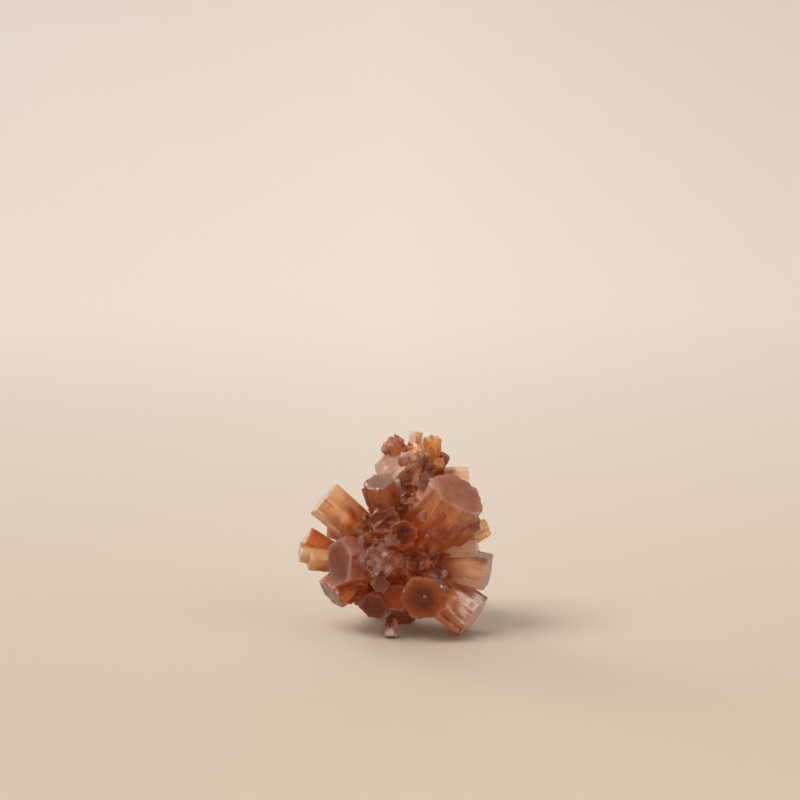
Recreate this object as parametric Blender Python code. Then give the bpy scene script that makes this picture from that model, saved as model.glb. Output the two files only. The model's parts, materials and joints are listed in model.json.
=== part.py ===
"""An aragonite specimen: a cluster of twinned, six-sided prisms that radiate from one heart.

The crystals grew together, so the whole specimen is one solid. It stands on the worn corners of
three of its prisms. Sizes are in millimetres in the tables and become metres when used.
The origin is at the middle of the specimen's box, on the surface that it stands on. +Z is up and
the show side faces -Y.
"""

import math
import random
from typing import NamedTuple

import bmesh
import bpy
from mathutils import Matrix, Vector, noise

MM = 0.001

# Moves the growth frame, in which the tables below are written, so that the box is centred.
STAND = Vector((-0.15, -2.05, 0.0))

TWIN_SIDES = 12  # six corners with a twin seam between each two
PLAIN_SIDES = 6
RIM_CHAMFER = 0.14
BASE_SHARE = 0.86  # a prism is a little thinner where it leaves the heart
RIM_SHARE = 0.17  # width of the rim round a dished end, as a share of the radius


class Prism(NamedTuple):
    """One crystal. Bearing 0 points to the show side and 90 to the right; rise is above level."""

    name: str
    tip: tuple
    bearing: float
    rise: float
    radius: float
    length: float
    breadth: float = 1.0
    turn: float = 0.0
    dish: float = 0.0
    seam: float = 0.04


# The prisms of the show side, from the left round to the right.
SHOW_SIDE = [
    Prism("honey_high", (-12.4, -1.0, 24.0), -90, 41, 3.8, 15, 0.95, 20, 0.0, 0.03),
    Prism("honey_low", (-16.6, 0.0, 14.3), -80, 6, 2.4, 14, 0.95, 10, 0.0, 0.05),
    Prism("honey_low_step", (-15.1, -0.4, 13.2), -78, 5, 2.5, 14, 0.95, 10, 0.0, 0.0),
    Prism("honey_low_upper", (-15.5, 0.5, 16.8), -84, 32, 2.0, 13, 1.0, 30, 0.0, 0.0),
    Prism("rosy_face", (-9.8, -6.5, 14.1), -57, 4, 4.5, 12, 1.0, 25, 0.15, 0.0),
    Prism("rosy_foot", (-11.1, -3.0, 7.3), -63, -34, 3.9, 13, 0.9, 15, 0.1, 0.0),
    Prism("rosy_nub", (-6.6, -5.0, 6.4), -25, -19, 1.0, 5),
    Prism("ice_chunk", (-2.9, -9.5, 15.4), 6, 18, 3.1, 9, 0.85, 10, 0.1, 0.08),
    Prism("ice_small", (-2.4, -8.8, 10.5), 9, -3, 1.75, 7),
    Prism("dusk_low", (-3.5, -7.5, 6.1), -6, -18, 2.8, 10, 1.0, 0, 0.1, 0.0),
    Prism("cleft_high", (-5.6, -3.0, 21.2), -41, 40, 0.9, 5),
    Prism("cleft_left", (-6.4, -4.0, 19.6), -34, 22, 1.1, 5),
    Prism("cleft_mid", (-5.1, -6.0, 18.3), -12, 18, 1.2, 5),
    Prism("cleft_low", (-3.0, -7.5, 19.0), 0, 6, 1.0, 5),
    Prism("grey_top", (-2.7, -6.0, 28.0), -34, 69, 3.1, 11, 1.0, 20, 0.05, 0.03),
    Prism("plate_mid", (-1.7, -8.5, 21.8), -6, 26, 2.9, 10, 1.0, 0, 0.12, 0.0),
    Prism("plate_low", (1.6, -9.5, 19.4), 12, 12, 2.7, 10, 1.0, 20, 0.15, -0.06),
    Prism("gap_high", (1.8, -4.0, 25.8), 0, 30, 1.3, 5),
    Prism("gap_mid", (3.6, -5.5, 23.5), 6, 18, 1.3, 6),
    Prism("gap_low", (1.4, -6.0, 23.4), -6, 24, 1.0, 6),
    Prism("great", (11.3, -7.0, 26.1), 53, 49, 5.3, 16, 1.0, 0, 0.1, -0.04),
    Prism("great_edge", (7.6, -7.5, 27.8), 53, 46, 2.2, 14, 1.0, 10, 0.0, 0.0),
    Prism("great_flank", (13.3, -5.0, 20.7), 46, 39, 2.7, 12, 1.0, 10, 0.0, 0.0),
    Prism("great_scale", (5.3, -8.9, 22.6), 10, 20, 1.2, 5),
    Prism("sliver", (16.1, 1.0, 19.3), 104, 29, 1.2, 11),
    Prism("sliver_low", (16.5, 0.5, 18.1), 104, 30, 1.0, 11),
    Prism("right_small", (14.4, -3.5, 15.8), 79, 5, 1.9, 11),
    Prism("right_clear", (16.4, -1.0, 10.8), 76, -10, 3.7, 14, 0.9, 0, 0.0, 0.05),
    Prism("streak", (8.8, -5.5, 11.7), 48, -7, 0.9, 7),
    Prism("foot_clear", (13.9, -1.4, 3.0), 69, -32, 4.85, 14, 0.9, 8, 0.0, 0.03),
    Prism("mound_left", (1.3, -8.0, 14.7), -6, 18, 1.7, 5),
    Prism("mound_mid", (3.9, -8.0, 14.4), 6, 18, 1.8, 5),
    Prism("mound_right", (6.5, -7.0, 14.8), 19, 11, 1.5, 5),
    Prism("eye", (5.1, -9.5, 8.1), 3, -2, 4.2, 12, 1.0, 0, 0.15, -0.06),
    Prism("eye_left", (-0.2, -7.5, 7.8), -9, -6, 2.8, 10, 1.0, 0, 0.1, -0.03),
    Prism("belly", (1.3, -4.5, 3.6), 0, -41, 3.0, 8, 1.0, 0, 0.0, 0.05),
    Prism("foot_tiny", (-0.8, -4.2, 0.25), -12, -74, 1.5, 6),
]

# The prisms of the upper heart, which make the crown.
CROWN = [
    Prism("milk", (-0.9, -2.5, 30.1), -41, 33, 3.6, 12, 1.0, 0, 0.0, 0.0),
    Prism("crown_left", (-0.2, -1.5, 34.4), -38, 60, 1.8, 8, 1.0, 30),
    Prism("crown_nub", (-2.1, 0.0, 32.8), -69, 29, 1.1, 6),
    Prism("crown_mid", (3.8, 0.5, 35.6), 136, 82, 1.35, 8),
    Prism("crown_right", (6.5, -1.0, 34.8), 20, 86, 1.8, 8, 1.0, 30),
    Prism("crown_far", (8.6, 0.0, 31.7), 85, 58, 1.7, 8),
    Prism("salmon", (3.6, -2.0, 33.4), 0, 42, 1.7, 6),
    Prism("amber", (5.2, -3.0, 32.1), 14, 30, 1.6, 6),
    Prism("amber_low", (7.9, -2.5, 30.5), 31, 10, 1.3, 6),
    Prism("tan_back", (12.9, 1.5, 26.6), 92, 0, 2.9, 12, 1.0, 0, 0.0, -0.04),
    Prism("mauve_high", (5.4, -4.5, 29.9), 9, 49, 1.7, 6),
    Prism("mauve_low", (3.0, -4.5, 29.1), -8, 42, 1.5, 6),
]

# The prisms of the back, which the show side hides.
FAR_SIDE = [
    Prism("far_great", (3.5, 13.1, 21.3), 165, 25, 4.6, 15, 1.0, 0, 0.12, 0.0),
    Prism("far_honey", (-9.0, 10.6, 17.1), -140, 10, 3.8, 14, 0.95, 0, 0.1, 0.05),
    Prism("far_rust", (10.8, 9.9, 13.6), 130, -5, 3.6, 14, 1.0, 0, 0.1, 0.03),
    Prism("far_foot", (-3.3, 13.4, 1.55), -168, -42, 3.2, 16, 1.0, 0, 0.0, 0.04),
    Prism("far_low", (5.6, 9.0, 3.9), 150, -45, 3.0, 14, 1.0, 0, 0.0, 0.0),
    Prism("far_mid", (0.0, 13.9, 11.6), 180, -8, 3.9, 14, 0.95, 0, 0.15, -0.04),
    Prism("far_high", (-2.8, 8.8, 24.2), -155, 42, 2.7, 12, 1.0, 0, 0.0, 0.04),
    Prism("far_left", (-11.0, 6.0, 11.2), -115, -18, 2.8, 12, 1.0, 0, 0.0, 0.04),
    Prism("far_left_high", (-11.0, 5.8, 18.0), -118, 15, 2.5, 12, 1.0, 0, 0.0, 0.0),
    Prism("far_crown", (5.6, 5.1, 31.4), 160, 50, 2.4, 9, 1.0, 0, 0.0, 0.0),
    Prism("far_crown_left", (1.4, 5.3, 29.0), -140, 35, 2.6, 9, 1.0, 0, 0.0, 0.04),
    Prism("far_crown_right", (10.0, 5.4, 26.0), 120, 15, 2.5, 9, 1.0, 0, 0.0, -0.04),
    Prism("under_far", (0.4, 4.1, 4.1), 175, -70, 2.4, 10),
    Prism("under_left", (-4.2, 1.5, 5.8), -80, -65, 2.4, 10),
    Prism("right_under", (10.6, 4.1, 7.0), 105, -35, 2.7, 12),
    Prism("right_far", (12.0, 5.0, 18.6), 108, 18, 2.6, 12, 1.0, 0, 0.0, 0.03),
]

# The massive hearts that the prisms grow from: centre, and half sizes.
HEARTS = [
    ("lower_heart", (0.3, 0.0, 14.6), (8.2, 7.4, 7.4)),
    ("upper_heart", (4.4, 0.6, 25.6), (4.8, 4.2, 5.2)),
]
HEART_ROUGHNESS = 0.16
HEART_GRAIN = 2.1

DRUSE_COUNT = 46
DRUSE_RADIUS = (0.5, 1.1)
DRUSE_PROUD = (0.4, 1.6)
DRUSE_LEAN = 0.45

FLOOR_SLAB = (60.0, 60.0, 10.0)

ARAGONITE_COLOUR = (0.42, 0.17, 0.09, 1.0)


def clear_scene():
    for old in list(bpy.data.objects):
        bpy.data.objects.remove(old)


def new_collection(name):
    collection = bpy.data.collections.new(name)
    bpy.context.scene.collection.children.link(collection)
    return collection


def aragonite_material():
    material = bpy.data.materials.new("rust_aragonite")
    material.use_nodes = True
    shader = material.node_tree.nodes["Principled BSDF"]
    shader.inputs["Base Color"].default_value = ARAGONITE_COLOUR
    shader.inputs["Roughness"].default_value = 0.3
    shader.inputs["Metallic"].default_value = 0.0
    shader.inputs["IOR"].default_value = 1.6
    shader.inputs["Transmission Weight"].default_value = 0.3
    return material


def outward(bearing, rise):
    """Unit vector of a crystal's axis, away from the heart."""
    turn, lift = math.radians(bearing), math.radians(rise)
    return Vector((math.sin(turn) * math.cos(lift), -math.cos(turn) * math.cos(lift), math.sin(lift)))


def twin_section(prism, sides):
    """The outline of a prism's cross-section, as shares of its radius, one for each of its sides."""
    draw = random.Random(prism.name)
    corners = [draw.uniform(0.92, 1.06) for _ in range(6)]
    if sides == PLAIN_SIDES:
        return corners
    outline = []
    for k, corner in enumerate(corners):
        following = corners[(k + 1) % 6]
        middle = (corner + following) / 2 * math.cos(math.radians(30))
        outline += [corner, middle * (1 - prism.seam)]
    return outline


def prism_mesh(prism, sides):
    """A prism with its end face at the mesh's origin and its axis along +Z."""
    outline = twin_section(prism, sides)
    bm = bmesh.new()
    bmesh.ops.create_cone(
        bm, cap_ends=True, segments=sides, radius1=1, radius2=1, depth=prism.length * MM
    )
    bmesh.ops.translate(bm, verts=bm.verts, vec=(0, 0, -prism.length * MM / 2))
    for vert in bm.verts:
        at_tip = vert.co.z > -prism.length * MM / 2
        step = round(math.atan2(vert.co.y, vert.co.x) / math.tau * sides) % sides
        reach = prism.radius * MM * outline[step] * (1 if at_tip else BASE_SHARE)
        vert.co.x *= reach
        vert.co.y *= reach * prism.breadth
    end = max(bm.faces, key=lambda face: face.calc_center_median().z)
    bmesh.ops.bevel(
        bm, geom=list(end.edges), offset=RIM_CHAMFER * MM, segments=1, profile=0.5, affect="EDGES"
    )
    if prism.dish:
        end = max(bm.faces, key=lambda face: face.calc_center_median().z)
        bmesh.ops.inset_individual(
            bm, faces=[end], thickness=prism.radius * RIM_SHARE * MM, depth=-prism.dish * MM
        )
    mesh = bpy.data.meshes.new(prism.name)
    bm.to_mesh(mesh)
    bm.free()
    return mesh


def place_prism(prism, sides, collection):
    crystal = bpy.data.objects.new(prism.name, prism_mesh(prism, sides))
    crystal.location = (Vector(prism.tip) + STAND) * MM
    swing = outward(prism.bearing, prism.rise).to_track_quat("Z", "Y")
    twist = Matrix.Rotation(math.radians(prism.turn), 3, "Z").to_quaternion()
    crystal.rotation_mode = "QUATERNION"
    crystal.rotation_quaternion = swing @ twist
    collection.objects.link(crystal)
    return crystal


def heart_object(name, centre, half_sizes, collection):
    """A lumpy ellipsoid, the massive aragonite under the crystals."""
    bm = bmesh.new()
    bmesh.ops.create_icosphere(bm, subdivisions=3, radius=1)
    for vert in bm.verts:
        lump = noise.noise(vert.co * HEART_GRAIN)
        vert.co *= 1 + HEART_ROUGHNESS * lump
        vert.co = Vector([c * half * MM for c, half in zip(vert.co, half_sizes)])
    mesh = bpy.data.meshes.new(name)
    bm.to_mesh(mesh)
    bm.free()
    heart = bpy.data.objects.new(name, mesh)
    heart.location = (Vector(centre) + STAND) * MM
    collection.objects.link(heart)
    return heart


def druse_prisms():
    """The small crystals that crowd the heart between the large ones."""
    draw = random.Random("druse")
    for number in range(DRUSE_COUNT):
        _, centre, half_sizes = HEARTS[0 if number % 3 else 1]
        way = Vector([draw.gauss(0, 1) for _ in range(3)]).normalized()
        skin = Vector(centre) + Vector([w * half for w, half in zip(way, half_sizes)])
        lean = Vector([draw.gauss(0, DRUSE_LEAN) for _ in range(3)])
        axis = (way + lean).normalized()
        proud = draw.uniform(*DRUSE_PROUD)
        radius = draw.uniform(*DRUSE_RADIUS)
        bearing = math.degrees(math.atan2(axis.x, -axis.y))
        rise = math.degrees(math.asin(axis.z))
        tip = tuple(skin + axis * proud)
        yield Prism(f"druse_{number:02d}", tip, bearing, rise, radius, 3.0, 1.0, draw.uniform(0, 60))


def join(base, other, operation):
    step = base.modifiers.new(other.name, "BOOLEAN")
    step.operation = operation
    step.solver = "EXACT"
    step.object = other


def make_tool(obj):
    obj.hide_render = True
    obj.display_type = "WIRE"


def floor_slab(collection):
    """Wears the lowest corners flat, where the specimen stands."""
    bm = bmesh.new()
    bmesh.ops.create_cube(bm, size=1)
    bmesh.ops.scale(bm, verts=bm.verts, vec=Vector(FLOOR_SLAB) * MM)
    bmesh.ops.translate(bm, verts=bm.verts, vec=(0, 0, -FLOOR_SLAB[2] / 2 * MM))
    mesh = bpy.data.meshes.new("floor_slab")
    bm.to_mesh(mesh)
    bm.free()
    slab = bpy.data.objects.new("floor_slab", mesh)
    collection.objects.link(slab)
    return slab


def build():
    clear_scene()
    cluster_collection = new_collection("aragonite_specimen")
    growth = new_collection("growth_tools")
    hearts = [heart_object(*row, growth) for row in HEARTS]
    cluster = hearts[0]
    growth.objects.unlink(cluster)
    cluster_collection.objects.link(cluster)
    cluster.name = "aragonite_cluster"
    cluster.data.materials.append(aragonite_material())
    grown = hearts[1:]
    grown += [place_prism(p, TWIN_SIDES, growth) for p in SHOW_SIDE + CROWN + FAR_SIDE]
    grown += [place_prism(p, PLAIN_SIDES, growth) for p in druse_prisms()]
    for crystal in grown:
        make_tool(crystal)
        join(cluster, crystal, "UNION")
    slab = floor_slab(growth)
    make_tool(slab)
    join(cluster, slab, "DIFFERENCE")


build()
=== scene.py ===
import json
import math
import random
from typing import NamedTuple

import bmesh
import bpy
from mathutils import Matrix, Vector, noise
from mathutils.bvhtree import BVHTree

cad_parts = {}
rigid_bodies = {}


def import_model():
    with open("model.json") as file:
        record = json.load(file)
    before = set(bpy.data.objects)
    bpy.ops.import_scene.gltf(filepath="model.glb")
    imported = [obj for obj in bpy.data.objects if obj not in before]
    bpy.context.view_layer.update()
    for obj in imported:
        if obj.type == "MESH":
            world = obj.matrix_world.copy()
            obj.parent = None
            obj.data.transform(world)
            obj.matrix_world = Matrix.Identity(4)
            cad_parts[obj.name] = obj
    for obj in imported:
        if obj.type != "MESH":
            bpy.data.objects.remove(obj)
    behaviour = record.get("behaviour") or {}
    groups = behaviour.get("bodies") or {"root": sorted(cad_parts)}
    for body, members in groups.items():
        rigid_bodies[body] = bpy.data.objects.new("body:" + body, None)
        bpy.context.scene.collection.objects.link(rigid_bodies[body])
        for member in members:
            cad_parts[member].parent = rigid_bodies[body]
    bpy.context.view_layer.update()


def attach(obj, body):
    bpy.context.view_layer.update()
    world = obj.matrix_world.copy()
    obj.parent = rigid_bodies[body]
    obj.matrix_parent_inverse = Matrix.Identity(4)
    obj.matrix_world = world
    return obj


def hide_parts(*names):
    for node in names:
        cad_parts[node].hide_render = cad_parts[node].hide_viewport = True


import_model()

# ---- Honey prisms ----
# Long twinned prisms of translucent honey aragonite. The largest reach out to the left, and more stand
# at the right and round the back. They grew out of the massive heart as grooved, six-sided columns.

MM = 0.001
STAND = Vector((-0.15, -2.05, 0.0))  # from the growth tables, in mm, to the standing frame
CORNERS = 6
STATIONS = 2 * CORNERS  # the outline's points: each corner and the seam after it
STATION_TURN = math.radians(30)
BASE_SHARE = 0.86  # how wide a prism still is at its root
ROOT_CROWDING = 1.5  # rings stand closer together near the end than near the root
FACET_STEP = 0.30
RING_STEP = 0.36
RUNG_STEP = 0.75
RIM_RING = 0.12
LEDGES = 3
GROOVE_SHARE, GROOVE_MOST = 0.05, 0.16  # of the radius, and in mm
CHIP_DEPTH, CHIP_SHARE = 0.8, 0.16  # in mm, and at most this much of the radius
SWELL, RIPPLE = 0.16, 0.05
CHAMFER, CHAMFER_WIDTH = 0.10, 0.30
LIP, LIP_DEPTH = 0.14, 0.35  # the rim's worn side: how far in, and how far down
DISH_SLOPE = 0.17  # of the radius
END_APART = 40  # the ends' patch of the skin map, in mm from the sides' patch
SEED_REACH = 90
SHOVE_SIDES = (3.1, 17.7, 31.3)

HONEY = (0.95, 0.55, 0.27)
# Each crystal darkens to its root colour towards the heart: partly its own colour, partly painted shade.
HONEY_ROOT = (0.51, 0.08, 0.010)
HONEY_END = (0.84, 0.60, 0.52)

growth_tools = bpy.data.collections.new("growth_tools")
bpy.context.scene.collection.children.link(growth_tools)


class Prism(NamedTuple):
    """One crystal: its tip in mm, the way it points, its size, its outline and its colours."""

    name: str
    tip: tuple
    bearing: float
    rise: float
    radius: float
    length: float
    breadth: float = 1.0
    turn: float = 0.0
    dish: float = 0.0
    seam: float = 0.04
    body: tuple = HONEY
    root: tuple = HONEY_ROOT
    end: tuple = HONEY_END
    # The rim colour sits on the worn edge of the end and the top of the sides. On most crystals it is paler,
    # partly frosted wear and partly painted light where the thin edge lets light through.
    rim: tuple = HONEY
    # The middle colour, where given, darkens the middle of the end: painted shade for the depth seen down the
    # crystal.
    middle: tuple = None
    rough: float = 0.0
    clear: float = 0.72


def outward(bearing, rise):
    """The direction at a bearing from the show side and a rise above level, in degrees."""
    turn, lift = math.radians(bearing), math.radians(rise)
    return Vector((math.sin(turn) * math.cos(lift), -math.cos(turn) * math.cos(lift), math.sin(lift)))


def stood(prism):
    """The transform from a prism's own frame, in mm with its end at the origin, to the stand."""
    swing = outward(prism.bearing, prism.rise).to_track_quat("Z", "Y").to_matrix()
    twist = Matrix.Rotation(math.radians(prism.turn), 3, "Z")
    place = Matrix.Translation((Vector(prism.tip) + STAND) * MM)
    return place @ (swing @ twist).to_4x4() @ Matrix.Scale(MM, 4)


def twin_outline(prism):
    """Six uneven corners with a shallow seam between each two, where the twins meet."""
    draw = random.Random(prism.name)
    corners = [draw.uniform(0.92, 1.06) for _ in range(CORNERS)]
    outline = []
    for k, corner in enumerate(corners):
        middle = (corner + corners[(k + 1) % CORNERS]) / 2 * math.cos(STATION_TURN)
        outline += [corner, middle * (1 - prism.seam)]
    return outline


def flat_reach(outline, angle):
    """How far the straight-sided outline reaches at an angle round the axis."""
    place = angle / math.tau * STATIONS % STATIONS
    k = int(place) % STATIONS
    past = (place - int(place)) * STATION_TURN
    near, far = outline[k], outline[(k + 1) % STATIONS]
    return near * far * 0.5 / (near * math.sin(past) + far * math.sin(STATION_TURN - past))


def side_reach(prism, outline, angle, depth):
    """How far a prism's side stands from its axis, a little less towards the root."""
    return prism.radius * flat_reach(outline, angle) * (1 - (1 - BASE_SHARE) * depth / prism.length)


def mix(first, second, share):
    """A colour between two others."""
    share = min(1.0, max(0.0, share))
    return tuple(a + (b - a) * share for a, b in zip(first, second))


def rise_between(low, high, value):
    """A smooth step from 0 at the low value to 1 at the high one."""
    share = min(1.0, max(0.0, (value - low) / (high - low)))
    return share * share * (3 - 2 * share)


def shove(at):
    """A smooth wandering push, in any direction, for the corners of a rough crystal."""
    return Vector([noise.noise(at + Vector((side, -side, 2 * side))) for side in SHOVE_SIDES])


def keep(bm, name, collection):
    """Puts a finished mesh in a collection as an object of its own."""
    mesh = bpy.data.meshes.new(name)
    bm.to_mesh(mesh)
    bm.free()
    obj = bpy.data.objects.new(name, mesh)
    collection.objects.link(obj)
    return obj


def skin_layers(bm):
    """The layers of the finish: a skin map, the growth's traits and the crystal's tint."""
    colours = bm.loops.layers.float_color
    return bm.loops.layers.uv.new("Skin"), colours.new("Growth"), colours.new("Tint")


def column(prism):
    """A closed column of width 1 with its end at the origin, ringed along its sides and on its end."""
    around = STATIONS * max(2, round(prism.radius * math.tau / STATIONS / FACET_STEP))
    bm = bmesh.new()
    bmesh.ops.create_cone(bm, cap_ends=True, segments=around, radius1=1, radius2=1, depth=prism.length)
    bmesh.ops.translate(bm, verts=bm.verts, vec=(0, 0, -prism.length / 2))
    rungs = [e for e in bm.edges if abs(e.verts[0].co.z - e.verts[1].co.z) > prism.length / 2]
    bmesh.ops.subdivide_edges(bm, edges=rungs, cuts=max(6, round(prism.length / RUNG_STEP)))
    end = max(bm.faces, key=lambda face: face.calc_center_median().z)
    bmesh.ops.inset_individual(bm, faces=[end], thickness=RIM_RING / prism.radius)
    width = 1 - RIM_RING / prism.radius
    while width > 1.5 * RING_STEP / prism.radius:
        bmesh.ops.inset_individual(bm, faces=[end], thickness=RING_STEP / prism.radius)
        width -= RING_STEP / prism.radius
    bmesh.ops.poke(bm, faces=[end])
    return bm


def tint_column(bm, prism, seed, own):
    """Colours a column from its rim to its root, clouded, and maps its skin in mm along the axis. The rim's
    paleness is partly painted light, the root's darkness partly painted shade.
    """
    skin, growth, tint = skin_layers(bm)
    for face in bm.faces:
        middle = face.calc_center_median()
        on_end = middle.z > -1e-6
        turn_of_face = math.atan2(middle.y, middle.x)
        for loop in face.loops:
            x, y, z = loop.vert.co
            if on_end:
                share = min(1.0, math.hypot(x, y))
                loop[skin].uv = (x * prism.radius + END_APART + seed, y * prism.radius)
                loop[growth] = (prism.clear * 0.9, 0.32 + 0.4 * share**6, own, 1.0)
                # Painted shade: ends with a middle colour are darker towards their middle.
                colour = mix(prism.middle or prism.end, prism.end, rise_between(0.25, 0.8, share))
                # Painted light, partly wear: the outer edge of the end takes the rim colour.
                loop[tint] = (*mix(colour, prism.rim, share**8), 1.0)
                continue
            angle = math.atan2(y, x)
            if abs(angle - turn_of_face) > math.pi:
                angle += math.copysign(math.tau, turn_of_face)
            depth = prism.length * (-z / prism.length) ** ROOT_CROWDING
            cloud = noise.noise(Vector((x, y, z * 0.4)) * prism.radius * 0.4 + Vector((0, 0, seed)))
            # Darker and redder towards the root: partly the crystal's own colour, partly painted shade where
            # crystals crowd into the heart.
            rooted = rise_between(0.12, 0.62, depth / prism.length + 0.35 * cloud)
            colour = mix(prism.body, prism.root, rooted)
            loop[skin].uv = (angle * prism.radius + seed, -depth)
            loop[growth] = (prism.clear, 1 - 0.85 * rooted, own, 0.0)
            # Near the end the sides take the rim colour: partly frosted wear, partly painted light on the
            # thin edge.
            loop[tint] = (*mix(prism.rim, colour, 0.4 + depth), 1.0)


def end_drop(prism, spot, seed, inward, chip):
    """How far a spot on the end lies below the tip: swell and ripples, the dish and the worn rim."""
    swell = SWELL * noise.noise(spot * 0.33 + Vector((0, 0, seed)))
    ripple = RIPPLE * noise.noise(spot * 1.1 + Vector((0, seed, 0)))
    drop = 0.06 - min(1.0, prism.radius / 3) * (swell + ripple)
    if prism.dish:
        drop += prism.dish * min(1.0, inward / (DISH_SLOPE * prism.radius))
    drop += (CHAMFER + chip) * max(0.0, 1 - inward / CHAMFER_WIDTH)
    return max(0.0, drop)


def carve_column(bm, prism, seed, ledges):
    """Shapes a column into its crystal: twinned outline, ledges, grooves, chips and a worn end."""
    outline = twin_outline(prism)
    for vert in bm.verts:
        x, y, z = vert.co
        share, angle = math.hypot(x, y), math.atan2(y, x)
        on_end = share < 0.9999 and z > -1e-6
        depth = prism.length * max(0.0, -z / prism.length) ** ROOT_CROWDING
        reach = side_reach(prism, outline, angle, depth)
        for at, half, start, inset in ledges:
            off = abs((angle - at + math.pi) % math.tau - math.pi)
            if off < half and depth < start:
                reach *= 1 - inset
        ring = Vector((math.cos(angle), math.sin(angle), 0)) * prism.radius
        along = Vector((0, 0, depth * 0.1 + seed))
        grooves = 0.5 * abs(noise.noise(ring * 1.6 + along))
        grooves += 0.5 * abs(noise.noise(ring * 0.7 + along * 1.3))
        reach -= min(GROOVE_MOST, GROOVE_SHARE * prism.radius) * grooves
        chip = max(0.0, noise.noise(ring * 0.75 + Vector((0, 0, seed * 1.7)))) * CHIP_DEPTH
        chip = min(chip, CHIP_SHARE * prism.radius)
        if on_end:
            inward = (1 - share) * prism.radius
            sink = end_drop(prism, Vector((x, y, 0)) * prism.radius, seed, inward, chip)
        else:
            lip = max(0.0, 1 - depth / LIP_DEPTH)
            reach -= (LIP + chip) * lip * min(1.0, prism.radius / 1.5)
            sink = depth + (0.12 + chip * 0.6) * max(0.0, 1 - depth / 0.6)
        vert.co = (x * reach, y * reach * prism.breadth, -sink)
        if prism.rough:
            at = vert.co * (1.1 / prism.radius) + Vector((seed, 0, 0))
            vert.co += (shove(at) * 0.30 + shove(at * 2.7) * 0.12) * prism.rough * prism.radius


def grow(prisms):
    """Grows each prism as a closed mesh of its own among the growth tools."""
    for prism in prisms:
        draw = random.Random(prism.name + " surface")
        seed, own = draw.uniform(0, SEED_REACH), draw.random()
        ledges = []
        for _ in range(LEDGES):
            at, half = draw.uniform(-math.pi, math.pi), draw.uniform(0.3, 0.8)
            ledges.append((at, half, draw.uniform(0.5, 5.0), draw.uniform(0.03, 0.09)))
        bm = column(prism)
        tint_column(bm, prism, seed, own)
        carve_column(bm, prism, seed, ledges)
        bm.transform(stood(prism))
        keep(bm, prism.name, growth_tools)


def snap(bm, where, way):
    """Breaks a closed shape off at a plane and closes it again."""
    whole = bm.verts[:] + bm.edges[:] + bm.faces[:]
    bmesh.ops.bisect_plane(bm, geom=whole, plane_co=where, plane_no=way, clear_outer=True)
    bmesh.ops.holes_fill(bm, edges=[e for e in bm.edges if e.is_boundary])


def dress(bm, colour, draw, top):
    """Gives a small crystal the same attributes that the large ones carry."""
    skin, growth, tint = skin_layers(bm)
    own, slide = draw.random(), draw.uniform(0, SEED_REACH)
    for face in bm.faces:
        for loop in face.loops:
            x, y, z = loop.vert.co
            loop[skin].uv = (x + y + slide, z - top)
            loop[growth] = (0.85, 0.5, own, 0.0)
            loop[tint] = (*colour, 1.0)


def side_blades(prisms, count):
    """Slim prisms that grew along the sides of a large one, each with its own slanted broken end."""
    for prism in prisms:
        draw = random.Random(prism.name + " blades")
        outline = twin_outline(prism)
        for number in range(count):
            angle = draw.uniform(0, math.tau)
            radius = draw.uniform(0.07, 0.17) * prism.radius
            start = draw.uniform(0.05, 0.55) * prism.length
            reach = side_reach(prism, outline, angle, start)
            length = draw.uniform(3.0, 6.0) * radius + 1.5
            bm = bmesh.new()
            bmesh.ops.create_cone(
                bm, cap_ends=True, segments=CORNERS, radius1=radius, radius2=radius, depth=length)
            bmesh.ops.scale(bm, verts=bm.verts, vec=(1, draw.uniform(0.6, 1.0), 1))
            bmesh.ops.rotate(bm, verts=bm.verts, matrix=Matrix.Rotation(draw.uniform(0, 1), 3, "Z"))
            bmesh.ops.translate(bm, verts=bm.verts, vec=(0, 0, -length / 2))
            snap(bm, (0, 0, -0.4 * radius), (draw.gauss(0, 0.5), draw.gauss(0, 0.5), 1))
            lean = Matrix.Rotation(draw.uniform(-0.02, 0.12), 3, "Y")
            bmesh.ops.rotate(bm, verts=bm.verts, cent=(0, 0, -length), matrix=lean)
            bmesh.ops.translate(bm, verts=bm.verts, vec=(reach - 0.55 * radius, 0, -start))
            bmesh.ops.rotate(bm, verts=bm.verts, matrix=Matrix.Rotation(angle, 3, "Z"))
            colour = mix(prism.rim, prism.root, draw.random())
            dress(bm, colour, draw, -start)
            bm.transform(stood(prism))
            keep(bm, f"{prism.name}_blade_{number}", growth_tools)


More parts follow.
